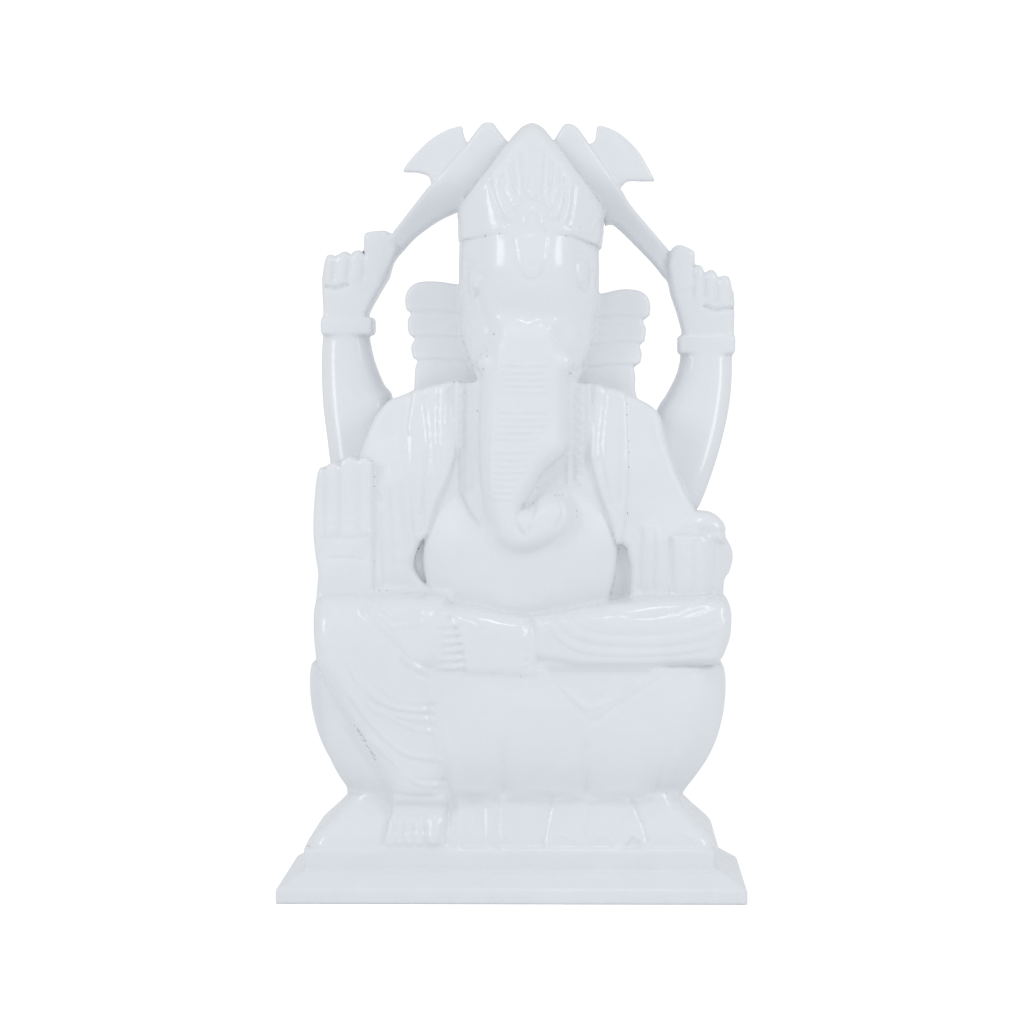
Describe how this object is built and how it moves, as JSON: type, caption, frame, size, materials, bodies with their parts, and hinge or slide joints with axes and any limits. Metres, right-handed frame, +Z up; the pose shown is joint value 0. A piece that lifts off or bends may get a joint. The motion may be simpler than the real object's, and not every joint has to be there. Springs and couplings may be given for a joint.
{
  "type": "seated ganesha idol",
  "caption": "Free-standing white marble idol: an elephant-headed figure with raised axes seated on a lotus over a bevelled plinth.",
  "frame": {"origin": "middle of the plinth's underside, on the surface that the idol stands on", "axes": "+Z up, the figure faces -Y, +X to the right of a viewer who faces the figure"},
  "size_m": [0.1374, 0.088, 0.2285],
  "materials": {
    "polished_marble": "fine-grained white marble, hand carved and polished, with faint grey clouding and soft window reflections",
    "tooled_marble": "the same white marble left from the chisel, with a fine sparkling crystal texture"
  },
  "bodies": {
    "root": {"plinth": "polished_marble", "base_step": "polished_marble", "lower_lotus": "polished_marble", "upper_lotus": "polished_marble", "hanging_leg": "polished_marble", "right_foot": "polished_marble", "folded_foot": "polished_marble", "ankle_cuff": "polished_marble", "folded_leg": "polished_marble", "belly": "polished_marble", "torso": "polished_marble", "chest_panel": "tooled_marble", "right_shawl_fall": "polished_marble", "left_shawl_fall": "polished_marble", "front_right_arm": "polished_marble", "blessing_hand": "polished_marble", "front_left_arm": "polished_marble", "bowl_hand": "polished_marble", "sweet": "polished_marble", "rear_right_arm": "polished_marble", "right_bracelet": "polished_marble", "rear_right_fist": "polished_marble", "right_axe_handle": "polished_marble", "right_axe_blade": "polished_marble", "rear_left_arm": "polished_marble", "left_bracelet": "polished_marble", "rear_left_fist": "polished_marble", "left_axe_handle": "polished_marble", "left_axe_blade": "polished_marble", "head": "polished_marble", "right_ear": "polished_marble", "left_ear": "polished_marble", "right_tusk": "polished_marble", "left_tusk": "polished_marble", "trunk": "polished_marble", "crown_band": "polished_marble", "crown": "polished_marble", "crown_medallion": "polished_marble"}
  },
  "joints": []
}
